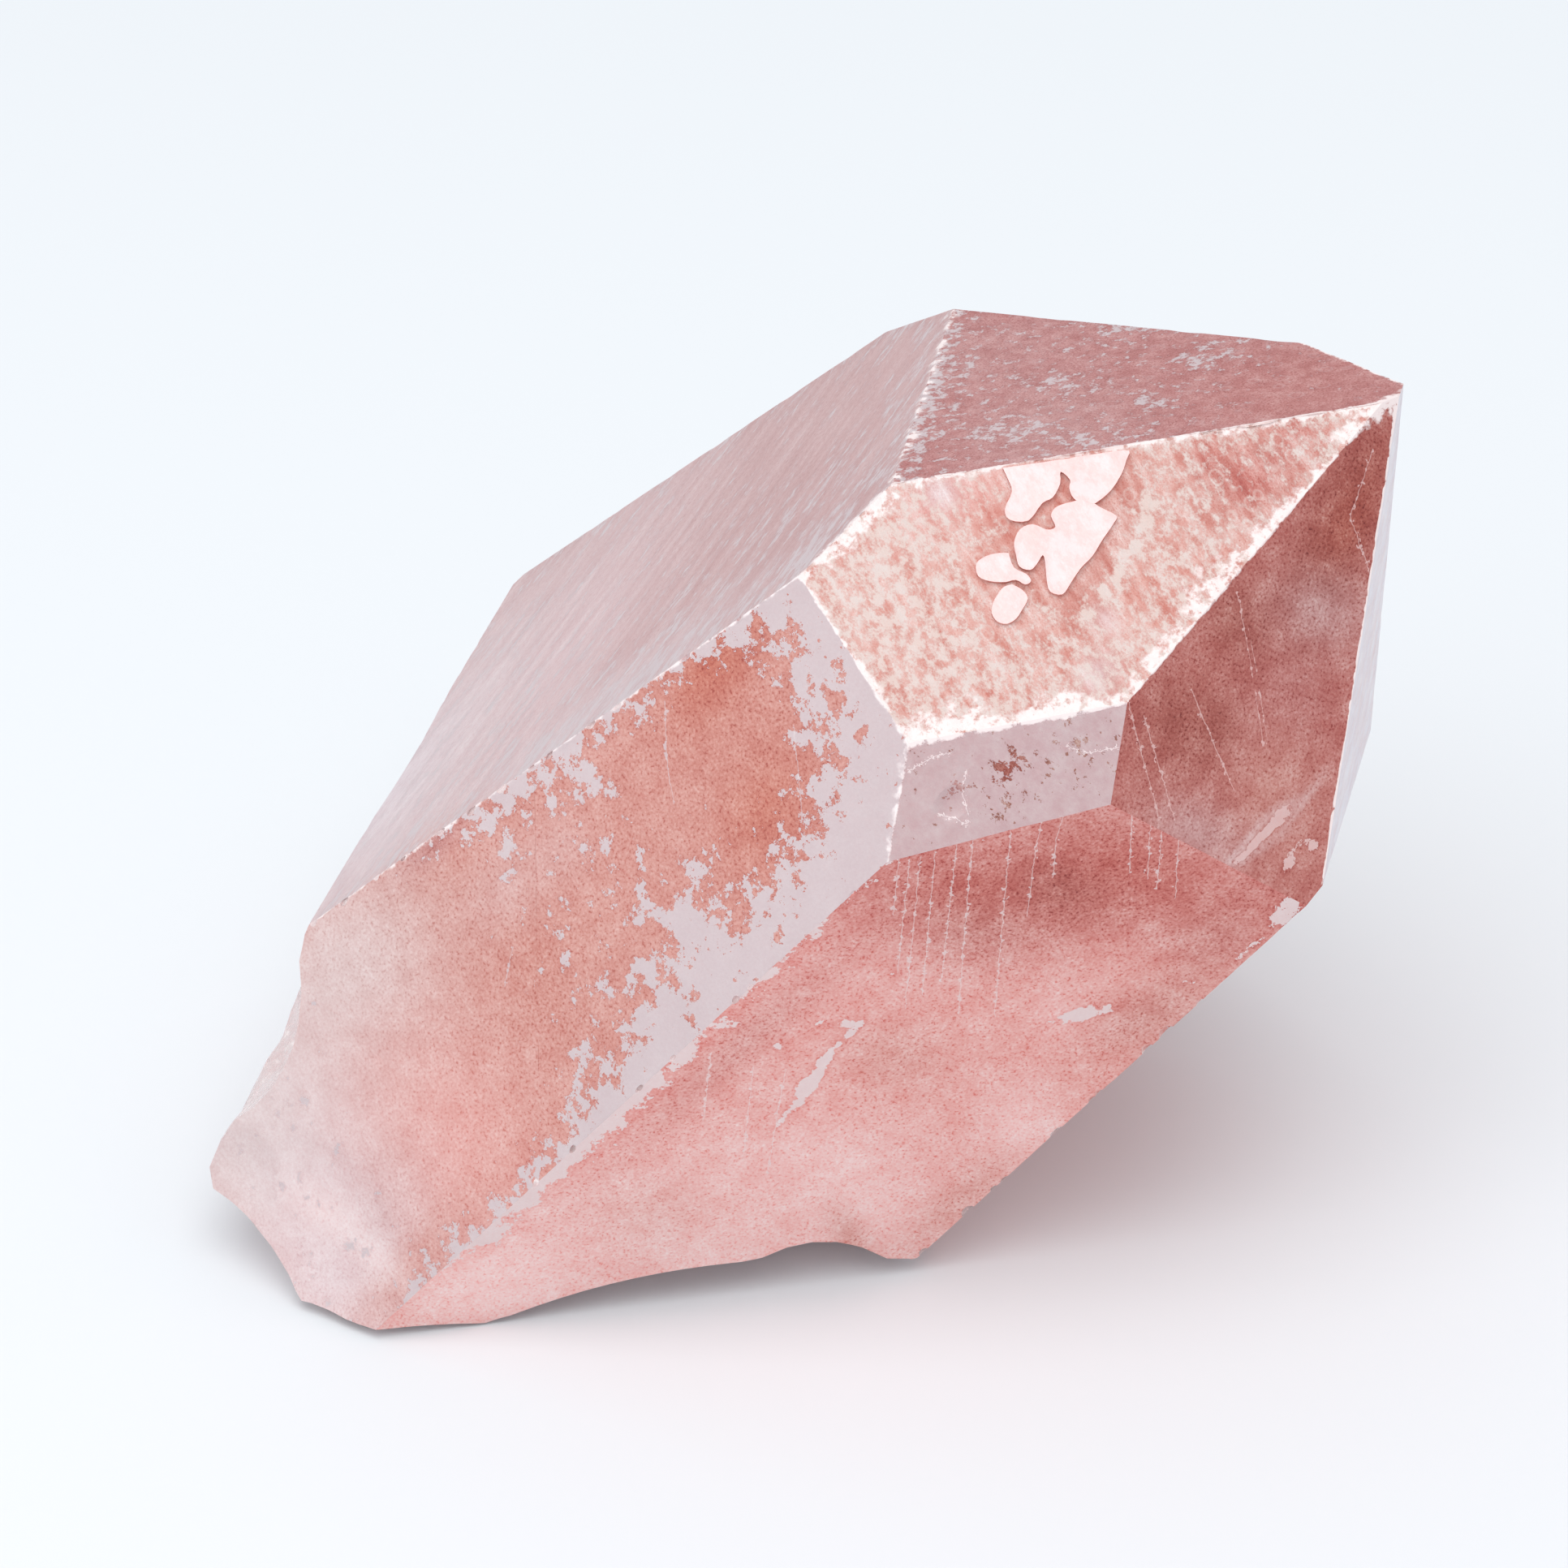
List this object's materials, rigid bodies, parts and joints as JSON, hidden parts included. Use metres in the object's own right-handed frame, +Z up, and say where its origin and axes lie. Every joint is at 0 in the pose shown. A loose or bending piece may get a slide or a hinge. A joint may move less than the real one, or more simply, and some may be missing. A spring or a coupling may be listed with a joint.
{
  "type": "quartz crystal",
  "caption": "Loose single quartz point with flat prism faces and a faceted tip, stained rose red by iron, lying tilted on its conchoidal break",
  "frame": {"origin": "Middle of the underside of the bounding box, on the surface the crystal lies on", "axes": "+Z up, -Y towards the large front facets, the long axis of the crystal leans up to the right (+X) at 47 degrees"},
  "size_m": [0.0706, 0.0632, 0.0549],
  "materials": {
    "iron_stained_quartz": "Translucent quartz with a thin rose to brick-red iron oxide film, bare lilac-grey margins along the edges and a silky etched top facet"
  },
  "bodies": {
    "root": {"crystal": "iron_stained_quartz"}
  },
  "joints": []
}
